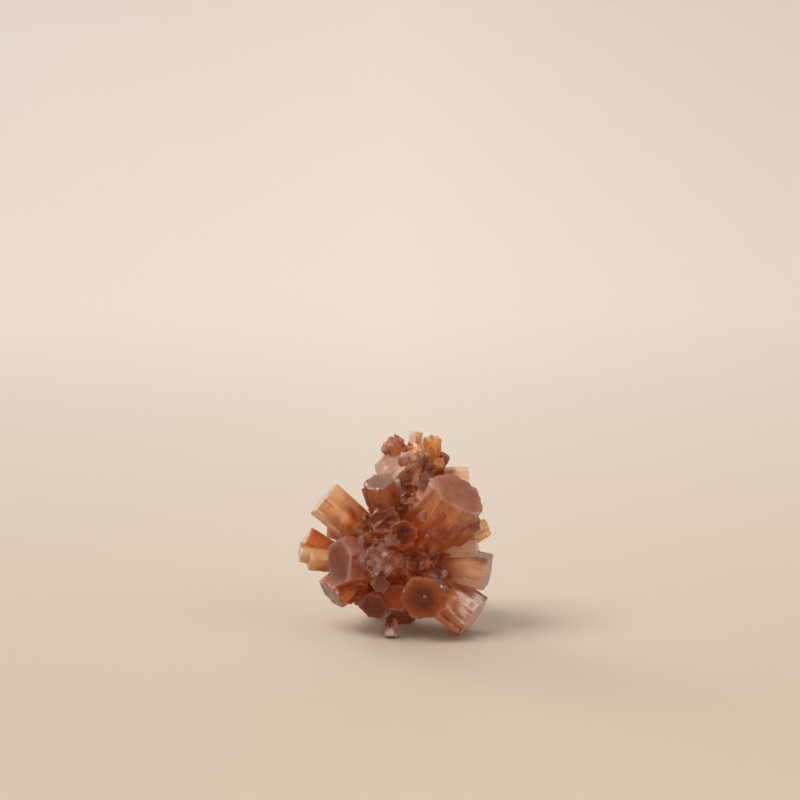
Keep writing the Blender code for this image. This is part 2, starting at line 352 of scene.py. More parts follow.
# Each row gives the tip, bearing, rise, radius and length, then the breadth, turn, dish and seam.
HONEY_PRISMS = [
    Prism("honey_high", (-12.4, -1.0, 24.0), -90, 41, 3.8, 15, 0.95, 20, 0.0, 0.03),
    Prism("honey_low", (-16.6, 0.0, 14.3), -80, 6, 2.4, 14, 0.95, 10, 0.0, 0.05),
    Prism("honey_low_step", (-15.1, -0.4, 13.2), -78, 5, 2.5, 14, 0.95, 10, 0.0, 0.0),
    Prism("honey_low_upper", (-15.5, 0.5, 16.8), -84, 32, 2.0, 13, 1.0, 30, 0.0, 0.0,
          body=(0.62, 0.13, 0.02)),
    Prism("tan_back", (12.9, 1.5, 26.6), 92, 0, 2.9, 12, 1.0, 0, 0.0, -0.04,
          body=(0.98, 0.54, 0.33), rim=(1.0, 0.58, 0.38), clear=0.38),
    Prism("sliver", (16.1, 1.0, 19.3), 104, 29, 1.2, 11),
    Prism("sliver_low", (16.5, 0.5, 18.1), 104, 30, 1.0, 11),
    Prism("far_honey", (-9.0, 10.6, 17.1), -140, 10, 3.8, 14, 0.95, 0, 0.1, 0.05),
    Prism("far_low", (5.6, 9.0, 3.9), 150, -45, 3.0, 14, 1.0, 0, 0.0, 0.0),
    Prism("far_high", (-2.8, 8.8, 24.2), -155, 42, 2.7, 12, 1.0, 0, 0.0, 0.04),
    Prism("far_left_high", (-11.0, 5.8, 18.0), -118, 15, 2.5, 12, 1.0, 0, 0.0, 0.0),
    Prism("far_crown_left", (1.4, 5.3, 29.0), -140, 35, 2.6, 9, 1.0, 0, 0.0, 0.04),
    Prism("far_crown_right", (10.0, 5.4, 26.0), 120, 15, 2.5, 9, 1.0, 0, 0.0, -0.04),
    Prism("right_far", (12.0, 5.0, 18.6), 108, 18, 2.6, 12, 1.0, 0, 0.0, 0.03),
]
grow(HONEY_PRISMS)
side_blades([prism for prism in HONEY_PRISMS if prism.radius > 2], 3)

# ---- Rust prisms ----
# The widest prisms, rust brown from iron in the aragonite. They are frosted and mauve on their ends and
# turn a darker red-orange down towards the heart, partly their own colour and partly painted shade.

RUST = {
    "body": (0.64, 0.27, 0.105),
    "root": (0.51, 0.070, 0.007),
    "end": (0.45, 0.172, 0.088),
    "rim": (0.76, 0.38, 0.24),
}
EYE = {
    "body": (0.42, 0.10, 0.026),
    "root": (0.32, 0.04, 0.008),
    "end": (0.33, 0.052, 0.006),
    "rim": (0.70, 0.27, 0.10),
    # Painted shade: a dark middle on the end, for the depth seen down the crystal.
    "middle": (0.115, 0.026, 0.006),
}
RUST_PRISMS = [
    Prism("great", (11.3, -7.0, 26.1), 53, 49, 5.3, 16, 1.0, 0, 0.1, -0.04, **RUST),
    # great_edge's pale colours are partly its own and partly painted light on the great prism's lit
    # upper-left edge.
    Prism("great_edge", (7.6, -7.5, 27.8), 53, 46, 2.2, 14, 1.0, 10, 0.0, 0.0,
          body=(0.90, 0.50, 0.34), root=(0.66, 0.18, 0.06), end=(0.88, 0.50, 0.34), rim=(0.94, 0.62, 0.46)),
    Prism("great_flank", (13.3, -5.0, 20.7), 46, 39, 2.7, 12, 1.0, 10, 0.0, 0.0, **RUST),
    Prism("great_scale", (5.3, -8.9, 22.6), 10, 20, 1.2, 5, **RUST, rough=0.7),
    Prism("grey_top", (-2.7, -6.0, 28.0), -34, 69, 3.1, 11, 1.0, 20, 0.05, 0.03,
          body=(0.51, 0.13, 0.035), root=(0.37, 0.05, 0.007),
          end=(0.33, 0.165, 0.12), rim=(0.52, 0.26, 0.17)),
    Prism("grey_top_side", (0.1, -5.2, 28.1), -30, 70, 1.0, 8, 1.0, 0, 0.0, 0.0,
          body=(0.84, 0.48, 0.33), root=(0.60, 0.20, 0.08), end=(0.70, 0.45, 0.36), rim=(0.90, 0.62, 0.50)),
    Prism("eye", (5.1, -9.5, 8.1), 3, -2, 4.2, 12, 1.0, 0, 0.15, -0.06, **EYE),
    Prism("eye_left", (-0.2, -7.5, 7.8), -9, -6, 2.8, 10, 1.0, 0, 0.1, -0.03,
          body=(0.52, 0.11, 0.02), root=(0.36, 0.04, 0.006),
          end=(0.50, 0.062, 0.005), rim=(0.72, 0.26, 0.09)),
    Prism("far_great", (3.5, 13.1, 21.3), 165, 25, 4.6, 15, 1.0, 0, 0.12, 0.0, **RUST),
    Prism("far_rust", (10.8, 9.9, 13.6), 130, -5, 3.6, 14, 1.0, 0, 0.1, 0.03, **RUST),
    Prism("far_foot", (-3.3, 13.4, 1.55), -168, -42, 3.2, 16, 1.0, 0, 0.0, 0.04, **RUST),
    Prism("far_mid", (0.0, 13.9, 11.6), 180, -8, 3.9, 14, 0.95, 0, 0.15, -0.04, **EYE),
    Prism("far_left", (-11.0, 6.0, 11.2), -115, -18, 2.8, 12, 1.0, 0, 0.0, 0.04, **RUST),
    Prism("far_crown", (5.6, 5.1, 31.4), 160, 50, 2.4, 9, 1.0, 0, 0.0, 0.0, **RUST),
    Prism("under_far", (0.4, 4.1, 4.1), 175, -70, 2.4, 10, **EYE),
    Prism("under_left", (-4.2, 1.5, 5.8), -80, -65, 2.4, 10, **EYE),
    Prism("right_under", (10.6, 4.1, 7.0), 105, -35, 2.7, 12, **RUST),
]
grow(RUST_PRISMS)
side_blades([prism for prism in RUST_PRISMS if prism.radius > 2], 5)

# ---- Rosy prisms ----
# Rosy brown prisms low on both sides, clouded inside and smooth on their ends. The ones at the right
# hold less iron and are paler.

ROSY = {
    "body": (0.54, 0.155, 0.055),
    "root": (0.44, 0.07, 0.014),
    "end": (0.25, 0.064, 0.032),
    "rim": (0.70, 0.52, 0.49),
}
BLUSH = {
    "body": (0.87, 0.57, 0.44),
    "root": (0.62, 0.21, 0.09),
    "end": (0.84, 0.56, 0.44),
    "rim": (0.94, 0.70, 0.57),
    "clear": 0.8,
}
ROSY_PRISMS = [
    # rosy_face's pale rim is partly painted light on its lit upper-left ledge.
    Prism("rosy_face", (-9.8, -6.5, 14.1), -57, 4, 4.5, 12, 1.0, 25, 0.15, 0.0,
          body=(0.54, 0.23, 0.14), root=(0.40, 0.06, 0.01), end=(0.20, 0.036, 0.012), rim=(0.62, 0.38, 0.31)),
    Prism("rosy_foot", (-11.1, -3.0, 7.3), -63, -34, 3.9, 13, 0.9, 15, 0.1, 0.0,
          body=(0.43, 0.095, 0.022), root=(0.42, 0.05, 0.007),
          end=(0.13, 0.022, 0.004), rim=(0.34, 0.10, 0.03)),
    Prism("rosy_nub", (-6.6, -5.0, 6.4), -25, -19, 1.0, 5, **ROSY, rough=0.8),
    Prism("right_small", (14.4, -3.5, 15.8), 79, 5, 1.9, 11, clear=0.45,
          body=(1.0, 0.75, 0.64), root=(0.90, 0.54, 0.40), end=(0.80, 0.55, 0.45), rim=(0.92, 0.67, 0.56)),
    Prism("right_clear", (16.4, -1.0, 10.8), 76, -10, 3.7, 14, 0.9, 0, 0.0, 0.05, **BLUSH),
    # The streak crystal's pale greyish lavender is painted reflection of the light.
    Prism("streak", (8.8, -5.5, 11.7), 48, -7, 0.9, 7,
          body=(0.5, 0.34, 0.32), end=(0.6, 0.42, 0.38), rim=(0.6, 0.42, 0.38)),
]
grow(ROSY_PRISMS)
side_blades([prism for prism in ROSY_PRISMS if prism.radius > 2], 5)

# ---- Dusky plates and knobs ----
# The dark crystals that face forward out of the middle. They are short and crowded, so their ends
# stand edge to edge as plates, with broken knobs wedged between them.

DUSK = {
    "body": (0.34, 0.074, 0.022),
    "root": (0.26, 0.036, 0.008),
    "end": (0.15, 0.020, 0.003),
    "rim": (0.42, 0.12, 0.04),
}
GREY = {
    "body": (0.52, 0.33, 0.26),
    "root": (0.36, 0.12, 0.06),
    "end": (0.54, 0.38, 0.32),
    "rim": (0.70, 0.54, 0.48),
    "clear": 0.85,
}
DUSK_PRISMS = [
    Prism("ice_chunk", (-2.9, -9.5, 15.4), 6, 18, 3.1, 9, 0.85, 10, 0.1, 0.08, **GREY, rough=0.5),
    Prism("ice_small", (-2.4, -8.8, 10.5), 9, -3, 1.75, 7, clear=0.5,
          body=(0.36, 0.13, 0.07), root=(0.3, 0.06, 0.02), end=(0.22, 0.074, 0.038), rim=(0.40, 0.20, 0.13)),
    Prism("dusk_low", (-3.5, -7.5, 6.1), -6, -18, 2.8, 10, 1.0, 0, 0.1, 0.0, **DUSK),
    Prism("cleft_high", (-5.6, -3.0, 21.2), -41, 40, 0.9, 5, **DUSK, rough=0.9),
    Prism("cleft_left", (-6.4, -4.0, 19.6), -34, 22, 1.1, 5, **DUSK, rough=0.9),
    Prism("cleft_mid", (-5.1, -6.0, 18.3), -12, 18, 1.2, 5, **DUSK, rough=0.9),
    Prism("cleft_low", (-3.0, -7.5, 19.0), 0, 6, 1.0, 5, **DUSK, rough=0.9),
    Prism("plate_mid", (-1.7, -8.5, 21.8), -6, 26, 2.9, 10, 1.0, 0, 0.12, 0.0, **DUSK),
    # plate_low's dark middle is painted shade for the depth seen down the crystal, and its pale rim is partly
    # painted light.
    Prism("plate_low", (1.6, -9.5, 19.4), 12, 12, 2.7, 10, 1.0, 20, 0.15, -0.06, middle=(0.09, 0.015, 0.003),
          body=(0.38, 0.11, 0.045), root=(0.22, 0.04, 0.012),
          end=(0.26, 0.035, 0.005), rim=(0.60, 0.20, 0.08)),
    Prism("gap_high", (1.8, -4.0, 25.8), 0, 30, 1.3, 5, **DUSK, rough=0.9),
    Prism("gap_mid", (3.6, -5.5, 23.5), 6, 18, 1.3, 6, **DUSK, rough=0.9),
    Prism("gap_low", (1.4, -6.0, 23.4), -6, 24, 1.0, 6, **DUSK, rough=0.9),
    Prism("mauve_high", (5.4, -4.5, 29.9), 9, 49, 1.7, 6, **DUSK, rough=0.7),
    Prism("mauve_low", (3.0, -4.5, 29.1), -8, 42, 1.5, 6, **DUSK, rough=0.7),
    Prism("mound_left", (1.3, -8.0, 14.7), -6, 18, 1.7, 5, **GREY, rough=0.8),
    Prism("mound_mid", (3.9, -8.0, 14.4), 6, 18, 1.8, 5, **DUSK, rough=0.8),
    Prism("mound_right", (6.5, -7.0, 14.8), 19, 11, 1.5, 5, **DUSK, rough=0.8),
    Prism("belly", (1.3, -4.5, 3.6), 0, -41, 3.0, 8, 1.0, 0, 0.0, 0.05, **DUSK),
]
grow(DUSK_PRISMS)
side_blades([prism for prism in DUSK_PRISMS if prism.radius > 2], 5)

# ---- Crown ----
# The small blocks on top: a milky broken one in front, amber and peach ones that light shines through,
# and a brown one on either side.

MILK = {
    "body": (0.56, 0.31, 0.19),
    "root": (0.48, 0.19, 0.09),
    "end": (0.54, 0.33, 0.22),
    "rim": (0.68, 0.48, 0.37),
    "clear": 0.6,
}
AMBER = {
    "body": (1.0, 0.36, 0.065),
    "root": (0.82, 0.18, 0.03),
    "end": (0.96, 0.42, 0.15),
    "rim": (1.0, 0.68, 0.40),
    "clear": 0.62,
}
CROWN_PRISMS = [
    Prism("milk", (-0.9, -2.5, 30.1), -41, 33, 3.6, 12, 1.0, 0, 0.0, 0.0, **MILK, rough=0.25),
    Prism("milk_right", (2.3, -3.7, 31.3), -6, 30, 2.0, 8, 1.0, 15, **MILK, rough=0.25),
    Prism("crown_mid", (3.8, 0.5, 35.6), 136, 82, 1.35, 8, rough=0.4, clear=0.5,
          body=(1.0, 0.68, 0.48), end=(1.0, 0.78, 0.60)),
    Prism("crown_left", (-0.2, -1.5, 34.4), -38, 60, 1.8, 8, 1.0, 30, rough=0.5,
          body=(0.70, 0.22, 0.10), root=(0.56, 0.11, 0.03), end=(0.50, 0.15, 0.07), rim=(0.74, 0.34, 0.21)),
    Prism("crown_nub", (-2.1, 0.0, 32.8), -69, 29, 1.1, 6, **RUST, rough=0.6),
    Prism("crown_far", (8.6, 0.0, 31.7), 85, 58, 1.7, 8, rough=0.4,
          body=(0.46, 0.08, 0.008), end=(0.34, 0.04, 0.004), rim=(0.62, 0.15, 0.035)),
    Prism("crown_right", (6.5, -1.0, 34.8), 20, 86, 1.8, 8, 1.0, 30, **AMBER, rough=0.25),
    Prism("salmon", (3.6, -2.0, 33.4), 0, 42, 1.7, 6, **AMBER, rough=0.7),
    Prism("amber", (5.2, -3.0, 32.1), 14, 30, 1.6, 6, **AMBER, rough=0.7),
    Prism("amber_low", (7.9, -2.5, 30.5), 31, 10, 1.3, 6, **AMBER, rough=0.7),
]
grow(CROWN_PRISMS)
side_blades([prism for prism in CROWN_PRISMS if prism.radius > 1.6], 3)

# ---- Clear crystals ----
# Two crystals low in front are clear enough to see into. Fans of fine healed cracks run through them
# and show as pale veils, on their sides where the fans reach and over their ends. The paleness is partly
# the cracks' own and partly painted reflection, for light thrown back inside the crystal.

CLEAR = {
    "body": (0.72, 0.32, 0.18),
    "root": (0.48, 0.09, 0.014),
    "end": (0.66, 0.36, 0.25),
    "rim": (0.38, 0.12, 0.055),
    "clear": 0.92,
}
# The colour of the veils: partly the cracks' own paleness, partly painted reflection.
VEIL_AND_REFLECTION = (1.0, 0.82, 0.73)
# Every end is at least this veiled: painted reflection over the end, partly veil.
END_VEIL_AND_REFLECTION = 0.8
CLEAR_PRISMS = [
    Prism("foot_clear", (13.9, -1.4, 3.0), 69, -32, 4.85, 14, 0.9, 8, 0.0, 0.03, **CLEAR),
    Prism("foot_tiny", (-0.8, -4.2, 0.25), -12, -74, 1.5, 6, clear=0.9,
          body=(0.46, 0.20, 0.13), root=(0.36, 0.09, 0.03), end=(0.60, 0.36, 0.28), rim=(0.34, 0.14, 0.085)),
]
VEIL_AND_REFLECTION_FANS = [((13.8, -4.4, 7.4), 4.6), ((-1.2, -5.4, 1.4), 0.9)]  # middle and reach of each one's fan, mm


def veil_and_reflection_share(place, fan_middle, reach, worn, on_end):
    """How veiled a spot is, from its place in mm: strong near the fan's middle and on the end. The veil is
    partly healed cracks and partly painted reflection.
    """
    x, y, z = place
    away = (Vector(place) - Vector(fan_middle) - STAND).length / reach
    veil_and_reflection_fan = noise.noise(Vector(((x + z) * 0.8, y * 0.4, (z - x) * 0.25))) * 1.3
    veil_and_reflection_fan += 0.5 * noise.noise(Vector(((x + z) * 2.6, y, (z - x) * 0.6)))
    return max(END_VEIL_AND_REFLECTION * on_end, rise_between(-0.3, 0.5, 0.85 - away + veil_and_reflection_fan) * worn)


grow(CLEAR_PRISMS)
for prism, (fan_middle, reach) in zip(CLEAR_PRISMS, VEIL_AND_REFLECTION_FANS):
    mesh = growth_tools.objects[prism.name].data
    tint, growth = mesh.attributes["Tint"].data, mesh.attributes["Growth"].data
    for loop in mesh.loops:
        clear, worn, own, on_end = growth[loop.index].color
        veil_and_reflection_fan = veil_and_reflection_share(mesh.vertices[loop.vertex_index].co / MM, fan_middle, reach, worn, on_end)
        # The veil, partly painted reflection, pales the tint and makes the spot less clear.
        tint[loop.index].color = (*mix(tint[loop.index].color[:3], VEIL_AND_REFLECTION, veil_and_reflection_fan), 1)
        growth[loop.index].color = (clear * (1 - 0.7 * veil_and_reflection_fan), worn, own, on_end)

# ---- Heart ----
# The massive aragonite in the middle, from which every prism grew, and the forty-odd small prisms that
# crowd its surface. They and the prisms above are one piece of stone.

# Each heart's name, middle and half sizes, in mm.
HEARTS = [
    ("lower_heart", (0.3, 0.0, 14.6), (8.2, 7.4, 7.4)),
    ("upper_heart", (4.4, 0.6, 25.6), (4.8, 4.2, 5.2)),
]
SMALL_PRISMS = 46
SMALL_LENGTH = 3.0

for name, centre, half_sizes in HEARTS:
    bm = bmesh.new()
    bmesh.ops.create_icosphere(bm, subdivisions=5, radius=1)
    for vert in bm.verts:
        lump = noise.noise(vert.co * 2.1)
        fine = noise.noise(vert.co * 9.0)
        vert.co *= 1 + 0.16 * lump + 0.03 * fine
        vert.co = Vector([c * half for c, half in zip(vert.co, half_sizes)]) + Vector(centre) + STAND
    # The heart takes the darkest root colour: partly its own, partly painted shade in the gaps where it
    # shows.
    dress(bm, DUSK["root"], random.Random(name), 0)
    bmesh.ops.scale(bm, verts=bm.verts, vec=(MM, MM, MM))
    keep(bm, name, growth_tools)

draw = random.Random("druse")
for number in range(SMALL_PRISMS):
    _, centre, half_sizes = HEARTS[0 if number % 3 else 1]
    way = Vector([draw.gauss(0, 1) for _ in range(3)]).normalized()
    skin = Vector(centre) + Vector([w * half for w, half in zip(way, half_sizes)])
    lean = Vector([draw.gauss(0, 0.45) for _ in range(3)])
    axis = (way + lean).normalized()
    proud, radius = draw.uniform(0.4, 1.6), draw.uniform(0.5, 1.1)
    bearing, rise = math.degrees(math.atan2(axis.x, -axis.y)), math.degrees(math.asin(axis.z))
    small = Prism(f"druse_{number:02d}", tuple(skin + axis * proud), bearing, rise, radius, SMALL_LENGTH,
                  turn=draw.uniform(0, 60), rough=0.7, **(DUSK if number % 2 else ROSY))
    grow([small])


def grow_together(base, crystals):
    """Joins every crystal of a collection to the base piece and gives the mesh that they make."""
    union = base.modifiers.new("grown together", "BOOLEAN")
    union.operation, union.solver = "UNION", "MANIFOLD"
    union.operand_type, union.collection = "COLLECTION", crystals
    bpy.context.view_layer.update()
    grown = bpy.data.meshes.new_from_object(base.evaluated_get(bpy.context.evaluated_depsgraph_get()))
    for tool in list(crystals.objects) + [base]:
        bpy.data.objects.remove(tool)
    return grown


heart = growth_tools.objects["lower_heart"]
growth_tools.objects.unlink(heart)
bpy.context.scene.collection.objects.link(heart)
crystals = bpy.data.objects.new("crystal_cluster", grow_together(heart, growth_tools))
bpy.context.scene.collection.objects.link(crystals)

# ---- Druse ----
# Tiny prisms and broken bits of crystal that grew on the heart in the gaps, and in knots of their own
# where the large prisms crowd together. The pale bits of a few knots are painted glints and reflections.

GAP_TRIES = 2600
GAP_WIDTHS = (0.4, 1.7)
GAP_PROUD = (0.3, 1.2)
OUTSIDE = 0.06  # far enough out to be clear of the stone
SCATTER = 7  # in mm
NEAR_HEART = 1.25
LOOKS = 12  # ways looked in from a spot, to find how hidden it is
LOOK_LIFT, LOOK_REACH = 0.0001, 0.007
HIDDEN = 0.45
LOWEST_BIT = 0.0015
SHAFT = 4  # a bit's full length in mm, most of it sunk in the stone
stone = BVHTree.FromObject(crystals, bpy.context.evaluated_depsgraph_get())
under = crystals.data.attributes["Tint"].data
grown_over = crystals.data.attributes["Growth"].data
middle = Vector((0.8, 0, 17)) * MM


def plant(name, start, way, widths, proud, draw, tints=(), near=None):
    """Plants one small crystal where a line from outside meets the stone."""
    hit, facing, where, _ = stone.ray_cast(start, way)
    if hit is None or hit.z < LOWEST_BIT or (near and (hit / MM - near[0]).length > near[1]):
        return
    width = widths[0] + (widths[1] - widths[0]) * draw.random()**2
    bm = bmesh.new()
    bmesh.ops.create_cone(
        bm, cap_ends=True, segments=CORNERS, radius1=width / 2, radius2=width / 2.2, depth=SHAFT)
    bmesh.ops.scale(bm, verts=bm.verts, vec=(1, draw.uniform(0.55, 1.0), 1))
    bmesh.ops.rotate(bm, verts=bm.verts, matrix=Matrix.Rotation(draw.uniform(0, math.tau), 3, "Z"))
    snap(bm, (0, 0, draw.uniform(*proud)), (draw.gauss(0, 0.5), draw.gauss(0, 0.5), 1))
    if draw.random() < 0.5:
        snap(bm, (width * 0.2, 0, 0), (1, draw.gauss(0, 0.5), draw.gauss(0.4, 0.2)))
    colour = tuple(under[crystals.data.polygons[where].loop_start].color)[:3]
    if tints:
        colour = mix(colour, draw.choice(tints), draw.uniform(0.5, 1.0))
    dress(bm, colour, draw, 0)
    lean = Vector([draw.gauss(0, 0.4) for _ in range(3)])
    axis = (facing * 0.5 + (hit - middle).normalized() + lean).normalized()
    turned = axis.to_track_quat("Z", "Y").to_matrix().to_4x4() @ Matrix.Scale(MM, 4)
    bm.transform(Matrix.Translation(hit) @ turned)
    keep(bm, name, growth_tools)


def heart_lengths(hit):
    """How far a spot is from the nearer heart's middle, in that heart's own half sizes."""
    lengths = []
    for _, centre, half_sizes in HEARTS:
        scaled = [(h / MM - s - c) / half for h, s, c, half in zip(hit, STAND, centre, half_sizes)]
        lengths.append(Vector(scaled).length)
    return min(lengths)


def hidden_looks(hit, facing, draw):
    """How many of the looks out from a spot are stopped by stone close by."""
    hidden = 0
    for _ in range(LOOKS):
        look = Vector([draw.gauss(0, 1) for _ in range(3)]).normalized()
        look = look if look.dot(facing) > 0 else -look
        hidden += stone.ray_cast(hit + facing * LOOK_LIFT, look, LOOK_REACH)[0] is not None
    return hidden


draw = random.Random("druse places")
for number in range(GAP_TRIES):
    way = Vector([draw.gauss(0, 1) for _ in range(3)]).normalized()
    aside = Vector([draw.gauss(0, SCATTER) for _ in range(3)]) * MM
    start = middle + way * OUTSIDE + aside
    hit, facing, where, _ = stone.ray_cast(start, -way)
    if hit is None or grown_over[crystals.data.polygons[where].loop_start].color[3] > 0.5:
        continue
    if hidden_looks(hit, facing, draw) > HIDDEN * LOOKS and heart_lengths(hit) < NEAR_HEART:
        plant(f"gap_bit_{number}", start, -way, GAP_WIDTHS, GAP_PROUD, draw)

KNOT_START = 20  # in mm
# Each row gives a knot's middle, the way it faces, its reach, the bits in it, their widths, how proud
# they stand, and their tints.
KNOTS = [
    ("ice", (-2.9, -9.0, 15.4), (6, 5), 3.3, 50, (0.8, 2.6), (0.2, 1.1),
     [(0.46, 0.36, 0.33), (0.80, 0.70, 0.66)]),
    ("mauve", (4.2, -4.6, 29.4), (5, 35), 2.6, 26, (0.9, 2.4), (0.2, 1.0),
     [(0.36, 0.15, 0.12), (0.62, 0.36, 0.31)]),
    ("gap", (2.3, -5.0, 25.0), (0, 20), 2.0, 18, (0.7, 1.3), (0.2, 0.7), [RUST["body"], RUST["rim"]]),
    ("cleft", (-5.0, -4.8, 19.6), (-20, 20), 2.4, 26, (0.7, 1.4), (0.2, 0.8), [DUSK["body"], RUST["body"]]),
    # Painted reflection: the streak knot's pale lavender tints.
    ("streak", (8.4, -6.0, 12.2), (40, 10), 2.6, 22, (0.6, 1.2), (0.2, 0.9),
     [(0.66, 0.54, 0.56), ROSY["rim"]]),
    # Painted glints: the glint knot's pale lavender bits stand for highlights of the light, not a colour of
    # the stone.
    ("glint", (2.4, -6.4, 24.8), (0, 10), 1.5, 9, (0.8, 1.8), (0.3, 1.2), [(0.74, 0.66, 0.72)]),
    # Painted reflection: the eye_spot bits put a pale spot in the middle of the eye's end.
    ("eye_spot", (5.2, -9.6, 8.5), (0, 0), 0.3, 2, (0.6, 0.8), (0.05, 0.15), [(0.92, 0.70, 0.56)]),
    ("mound", (4.0, -7.6, 14.6), (5, 10), 2.8, 24, (0.7, 2.0), (0.2, 0.9), [DUSK["body"], GREY["end"]]),
    ("crown", (5.6, -2.2, 32.6), (15, 35), 2.0, 16, (1.0, 1.9), (0.2, 0.8), [AMBER["body"], AMBER["rim"]]),
    ("crown_left", (1.5, -1.4, 33.7), (-15, 30), 1.3, 12, (1.0, 1.9), (0.0, 0.4),
     [(0.80, 0.30, 0.17), (0.90, 0.46, 0.32)]),
]
for name, centre, (bearing, rise), reach, count, widths, proud, tints in KNOTS:
    draw = random.Random(name)
    out = outward(bearing, rise)
    near = (Vector(centre) + STAND, reach * 1.5)
    for number in range(count):
        aside = Vector([draw.uniform(-reach, reach) for _ in range(3)])
        start = (Vector(centre) + STAND + out * KNOT_START + aside) * MM
        plant(f"{name}_bit_{number}", start, -out, widths, proud, draw, tints, near)

# ---- The joined stone ----
# Prisms, heart and druse are one piece of translucent aragonite, frosted where it is worn. It stands on
# its lowest corners, which are worn flat.

FROST = (1.0, 0.70, 0.50)
PER_MM = (1000, 1000, 1000)
DEPTH_TINT = (0.95, 0.55, 0.22)
DEPTH_DENSITY = 90
GLOW_REACH = 0.0016
SHARP_EDGE = math.radians(32)


class Nodes:
    """The kinds of shader node that the finishes here are made of."""

    def __init__(self, tree):
        self.tree = tree

    def feed(self, socket, value):
        """Sets a socket to a value, or joins another node's output to it."""
        if isinstance(value, bpy.types.NodeSocket):
            self.tree.links.new(value, socket)
        elif socket.type == "RGBA":
            socket.default_value = (*value, 1.0)
        else:
            socket.default_value = value

    def add(self, kind, **values):
        """A new node, with its settings made and its sockets fed."""
        made = self.tree.nodes.new(kind)
        for key, value in values.items():
            if key in made.inputs:
                self.feed(made.inputs[key], value)
            else:
                setattr(made, key, value)
        return made

    def maths(self, operation, first, second):
        made = self.add("ShaderNodeMath", operation=operation)
        self.feed(made.inputs[0], first)
        self.feed(made.inputs[1], second)
        return made.outputs[0]

    def times(self, first, second):
        return self.maths("MULTIPLY", first, second)

    def left_over(self, value):
        return self.maths("SUBTRACT", 1.0, value)

    def blend(self, share, first, second, kind="MIX"):
        made = self.add("ShaderNodeMix", data_type="RGBA", blend_type=kind)
        self.feed(made.inputs[0], share)
        self.feed(made.inputs[6], first)
        self.feed(made.inputs[7], second)
        return made.outputs[2]

    def spread(self, value, low, high, least=0.0, most=1.0):
        """Spreads the values from low to high over the range from least to most, and clamps the rest."""
        sockets = {"From Min": low, "From Max": high, "To Min": least, "To Max": most}
        return self.add("ShaderNodeMapRange", clamp=True, Value=value, **sockets).outputs[0]

    def stretched(self, coords, stretch):
        return self.add("ShaderNodeMapping", Vector=coords, Scale=stretch).outputs[0]

    def pattern(self, coords, stretch, scale, detail, rough=0.6, warp=0.0):
        """Cloudy noise over stretched coordinates."""
        place = self.stretched(coords, stretch)
        sizes = {"Scale": scale, "Detail": detail, "Roughness": rough, "Distortion": warp}
        return self.add("ShaderNodeTexNoise", Vector=place, **sizes).outputs["Fac"]


def healed_cracks(nodes, place, flecks):
    """Fine bent cracks round the cells of a pattern, kept only here and there."""
    wander = nodes.add("ShaderNodeTexNoise", Vector=nodes.stretched(place, PER_MM), Scale=0.6, Detail=3.0)
    swing = nodes.add("ShaderNodeVectorMath", operation="SCALE", Scale=2.2)
    nodes.feed(swing.inputs[0], wander.outputs["Color"])
    bent = nodes.add("ShaderNodeVectorMath", operation="ADD")
    nodes.feed(bent.inputs[0], nodes.stretched(place, PER_MM))
    nodes.feed(bent.inputs[1], swing.outputs[0])
    cells = nodes.add(
        "ShaderNodeTexVoronoi", feature="DISTANCE_TO_EDGE", Vector=bent.outputs[0], Scale=0.5)
    edges = nodes.left_over(nodes.spread(cells.outputs["Distance"], 0.002, 0.05))
    return nodes.times(edges, nodes.spread(flecks, 0.44, 0.54))


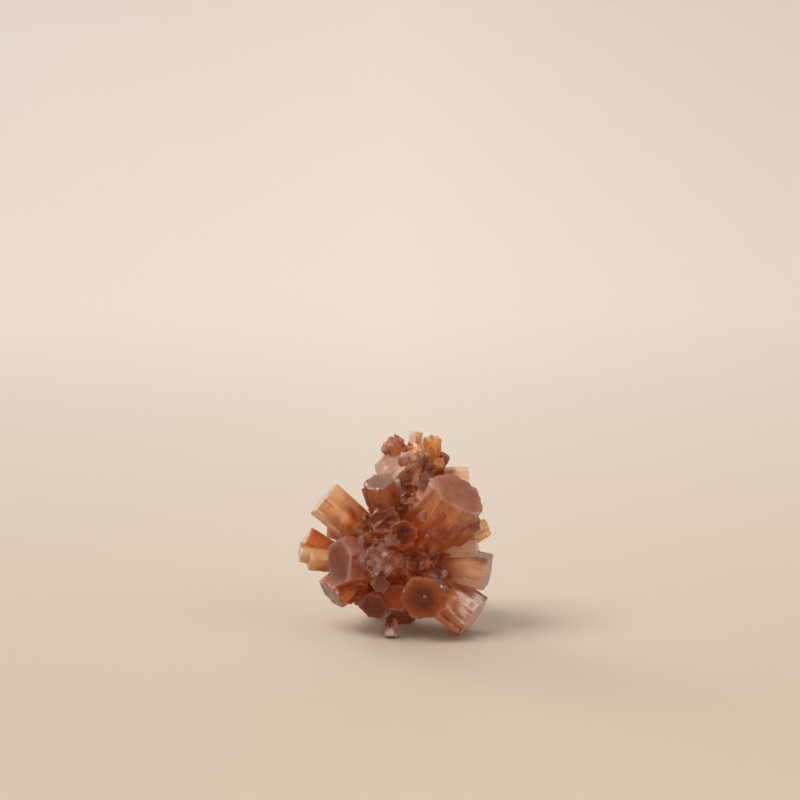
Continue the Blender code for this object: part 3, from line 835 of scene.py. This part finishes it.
def aragonite_finish(name):
    """Frosted translucent aragonite: each crystal's own tint, streaked, stained and cracked."""
    material = bpy.data.materials.new(name)
    material.use_nodes = True
    nodes = Nodes(material.node_tree)
    shader = material.node_tree.nodes["Principled BSDF"]

    place = nodes.add("ShaderNodeTexCoord").outputs["Object"]
    skin = nodes.add("ShaderNodeUVMap", uv_map="Skin").outputs[0]
    painted = nodes.add("ShaderNodeAttribute", attribute_name="Tint").outputs["Color"]
    tint = nodes.add("ShaderNodeGamma", Color=painted, Gamma=0.85).outputs[0]
    growth = nodes.add("ShaderNodeAttribute", attribute_name="Growth")
    traits = nodes.add("ShaderNodeSeparateColor", Color=growth.outputs["Color"])
    clearness, worn, own = traits.outputs[0], traits.outputs[1], traits.outputs[2]
    on_side = nodes.left_over(growth.outputs["Alpha"])

    clouds = nodes.pattern(place, PER_MM, 0.38, 5.0, 0.62, 0.6)
    flecks = nodes.pattern(place, PER_MM, 2.2, 4.0, 0.7)
    grains = nodes.pattern(place, PER_MM, 5.0, 2.0)
    streaks = nodes.pattern(skin, (1.0, 0.12, 1.0), 2.2, 5.0, 0.70, 0.3)
    threads = nodes.pattern(skin, (1.0, 0.06, 1.0), 5.5, 3.0, 0.6)
    cracks = healed_cracks(nodes, place, flecks)

    frost = nodes.blend(0.38, nodes.blend(1.0, tint, (1.3, 1.15, 1.05), "MULTIPLY"), FROST)
    glow = nodes.blend(1.0, tint, (1.2, 1.25, 1.15), "MULTIPLY")
    stain = nodes.blend(1.0, tint, (0.66, 0.40, 0.28), "MULTIPLY")
    colour = nodes.blend(nodes.spread(clouds, 0.45, 0.75), tint, glow)
    stained = nodes.times(nodes.left_over(nodes.spread(clouds, 0.25, 0.52)), 0.6)
    colour = nodes.blend(stained, colour, stain)
    frosted = nodes.maths("ADD", nodes.times(on_side, 0.64), 0.06)
    pale_streaks = nodes.times(nodes.spread(streaks, 0.50, 0.66), frosted)
    colour = nodes.blend(nodes.times(pale_streaks, worn), colour, frost)
    dark_lines = nodes.times(nodes.left_over(nodes.spread(streaks, 0.32, 0.44)), on_side)
    colour = nodes.blend(nodes.times(dark_lines, 0.7), colour, stain)
    fibres = nodes.times(nodes.times(nodes.spread(threads, 0.55, 0.72), on_side), 0.4)
    fine = nodes.maths("MAXIMUM", fibres, nodes.times(nodes.spread(flecks, 0.58, 0.74), 0.35))
    fine = nodes.maths("MAXIMUM", fine, nodes.times(nodes.spread(grains, 0.60, 0.68), 0.8))
    colour = nodes.blend(nodes.times(fine, worn), colour, frost)
    colour = nodes.blend(nodes.times(nodes.times(cracks, 0.6), worn), colour, frost)

    dullness = nodes.maths("ADD", nodes.times(nodes.spread(clouds, 0.3, 0.7), 0.13), nodes.times(own, 0.08))
    relief = nodes.maths("ADD", nodes.times(threads, on_side), nodes.times(flecks, 0.8))
    relief = nodes.maths("ADD", relief, nodes.times(streaks, 0.6))
    relief = nodes.maths("SUBTRACT", relief, nodes.times(cracks, 0.5))
    bumps = nodes.add("ShaderNodeBump", Strength=0.55, Distance=0.0001, Height=relief)
    depth = nodes.add("ShaderNodeVolumeAbsorption", Color=DEPTH_TINT, Density=DEPTH_DENSITY)
    nodes.feed(material.node_tree.nodes["Material Output"].inputs["Volume"], depth.outputs[0])
    looks = {
        "Base Color": colour,
        "Roughness": nodes.maths("ADD", dullness, 0.03),
        "Normal": bumps.outputs[0],
        "IOR": 1.6,
        "Transmission Weight": clearness,
        "Specular IOR Level": 0.3,
        "Specular Tint": (0.85, 0.62, 0.52),
        "Subsurface Weight": 1.0,
        "Subsurface Radius": (1.0, 0.88, 0.76),
        "Subsurface Scale": GLOW_REACH,
    }
    for socket, value in looks.items():
        nodes.feed(shader.inputs[socket], value)
    return material


grown = grow_together(crystals, growth_tools)
for vert in grown.vertices:
    vert.co.z = max(0.0, vert.co.z)
grown.materials.clear()
grown.materials.append(aragonite_finish("rust_aragonite"))
grown.shade_smooth()
grown.set_sharp_from_angle(angle=SHARP_EDGE)
crystals = bpy.data.objects.new("crystal_cluster", grown)
bpy.context.scene.collection.objects.link(crystals)
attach(crystals, "root")
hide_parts("aragonite_cluster")

# ---- Floor, light and camera ----
# A plain pale sweep of paper under soft light from the front left, seen from a little above the
# specimen. The paper bends up behind it into a wall.

NEAR_PAPER = (0.45, 0.362, 0.268)
FAR_PAPER = (0.585, 0.512, 0.455)
PAPER_CHANGE = (-0.05, 0.40)  # where the tone starts and ends, front to back
LEFT_SHADE, SHADE_CHANGE = 0.78, (-0.17, 0.0)  # the left is darker, from side to middle
BEND_CENTRE = (0, 0.38, 0.25)
BEND_ANGLE = math.radians(86)
WALL_RISE = (0, 0.08, 1.2)

bm = bmesh.new()
bmesh.ops.create_grid(bm, x_segments=2, y_segments=2, size=1)
far_side = [v for v in bm.verts if v.co.y > 0.9]
bmesh.ops.scale(bm, verts=bm.verts, vec=(1.6, 0.5, 1))
bmesh.ops.translate(bm, verts=bm.verts, vec=(0, -0.12, 0))
edge = [e for e in bm.edges if all(v in far_side for v in e.verts)]
bmesh.ops.spin(bm, geom=edge, cent=BEND_CENTRE, axis=(1, 0, 0), dvec=(0, 0, 0), angle=BEND_ANGLE, steps=24)
rim = [e for e in bm.edges if e.is_boundary and all(v.co.z > 0.2 for v in e.verts)]
wall = bmesh.ops.extrude_edge_only(bm, edges=rim)["geom"]
bmesh.ops.translate(bm, verts=[g for g in wall if isinstance(g, bmesh.types.BMVert)], vec=WALL_RISE)
bmesh.ops.recalc_face_normals(bm, faces=bm.faces)
sweep = keep(bm, "floor_sweep", bpy.context.scene.collection)
sweep.data.shade_smooth()

paper = bpy.data.materials.new("sweep_paper")
paper.use_nodes = True
nodes = Nodes(paper.node_tree)
place = nodes.add("ShaderNodeTexCoord").outputs["Object"]
along = nodes.add("ShaderNodeSeparateXYZ", Vector=place)
tone = nodes.blend(nodes.spread(along.outputs["Y"], *PAPER_CHANGE), NEAR_PAPER, FAR_PAPER)
shade = nodes.spread(along.outputs["X"], *SHADE_CHANGE, LEFT_SHADE, 1.0)
shader = paper.node_tree.nodes["Principled BSDF"]
nodes.feed(shader.inputs["Base Color"], nodes.blend(1.0, tone, shade, "MULTIPLY"))
nodes.feed(shader.inputs["Roughness"], 0.6)
sweep.data.materials.append(paper)

LOOK_AT = Vector((0, 0, 0.0175)) + STAND * MM  # the middle of the specimen


def soft_light(name, place, size, power, colour):
    """A round area light that is turned to the specimen."""
    lamp = bpy.data.lights.new(name, "AREA")
    lamp.shape, lamp.size, lamp.energy, lamp.color = "DISK", size, power, colour
    stand = bpy.data.objects.new(name, lamp)
    stand.location = place
    stand.rotation_mode = "QUATERNION"
    stand.rotation_quaternion = (LOOK_AT - Vector(place)).to_track_quat("-Z", "Y")
    bpy.context.scene.collection.objects.link(stand)


soft_light("window_light", (-1.32, -0.80, 1.98), 1.45, 67.0, (0.98, 0.98, 1.0))
soft_light("room_fill", (1.20, -0.70, 0.80), 1.2, 6.5, (1.0, 0.95, 0.90))
soft_light("back_glow", (-0.45, 0.55, 0.40), 0.4, 2.6, (1.0, 0.97, 0.95))
soft_light("lamp", (-0.10, -0.42, 0.58), 0.05, 0.35, (1.0, 1.0, 1.0))
soft_light("far_lamp", (0.30, -0.50, 0.42), 0.05, 0.25, (1.0, 0.97, 0.92))

CEILING_WAY = (-0.10, 0.62, 0.78)  # the room is brightest this way

world = bpy.data.worlds.new("room")
world.use_nodes = True
nodes = Nodes(world.node_tree)
height = nodes.add("ShaderNodeVectorMath", operation="DOT_PRODUCT")
nodes.feed(height.inputs[0], nodes.add("ShaderNodeTexCoord").outputs["Generated"])
nodes.feed(height.inputs[1], CEILING_WAY)
ceiling = nodes.add("ShaderNodeMapRange", interpolation_type="SMOOTHSTEP", Value=height.outputs["Value"])
for key, value in (("From Min", 0.1), ("From Max", 1.0), ("To Min", 0.03), ("To Max", 0.98)):
    nodes.feed(ceiling.inputs[key], value)
background = world.node_tree.nodes["Background"]
nodes.feed(background.inputs["Strength"], ceiling.outputs[0])
nodes.feed(background.inputs["Color"], (0.96, 0.96, 1.0))
bpy.context.scene.world = world
bpy.context.scene.view_settings.view_transform = "Standard"

SENSOR_MM = 36
VIEW_PIXELS = 800
FOCAL_PIXELS = 2833
ASIDE_PIXELS = -5.5  # the specimen stands left of the view's middle
BELOW_PIXELS = 134  # and below it
CAMERA_REACH = 0.493
CAMERA_RISE = math.radians(12)

lens = bpy.data.cameras.new("camera")
lens.sensor_width = SENSOR_MM
lens.lens = FOCAL_PIXELS / VIEW_PIXELS * SENSOR_MM
camera = bpy.data.objects.new("camera", lens)
back = Vector((0, -math.cos(CAMERA_RISE), math.sin(CAMERA_RISE)))
camera.location = LOOK_AT + back * CAMERA_REACH
lifted = Matrix.Rotation(math.atan(BELOW_PIXELS / FOCAL_PIXELS), 3, "X")
turned = Matrix.Rotation(math.atan(ASIDE_PIXELS / FOCAL_PIXELS), 3, "Y")
aim = (-back).to_track_quat("-Z", "Y").to_matrix() @ lifted @ turned
camera.rotation_mode = "QUATERNION"
camera.rotation_quaternion = aim.to_quaternion()
bpy.context.scene.collection.objects.link(camera)
bpy.context.scene.camera = camera
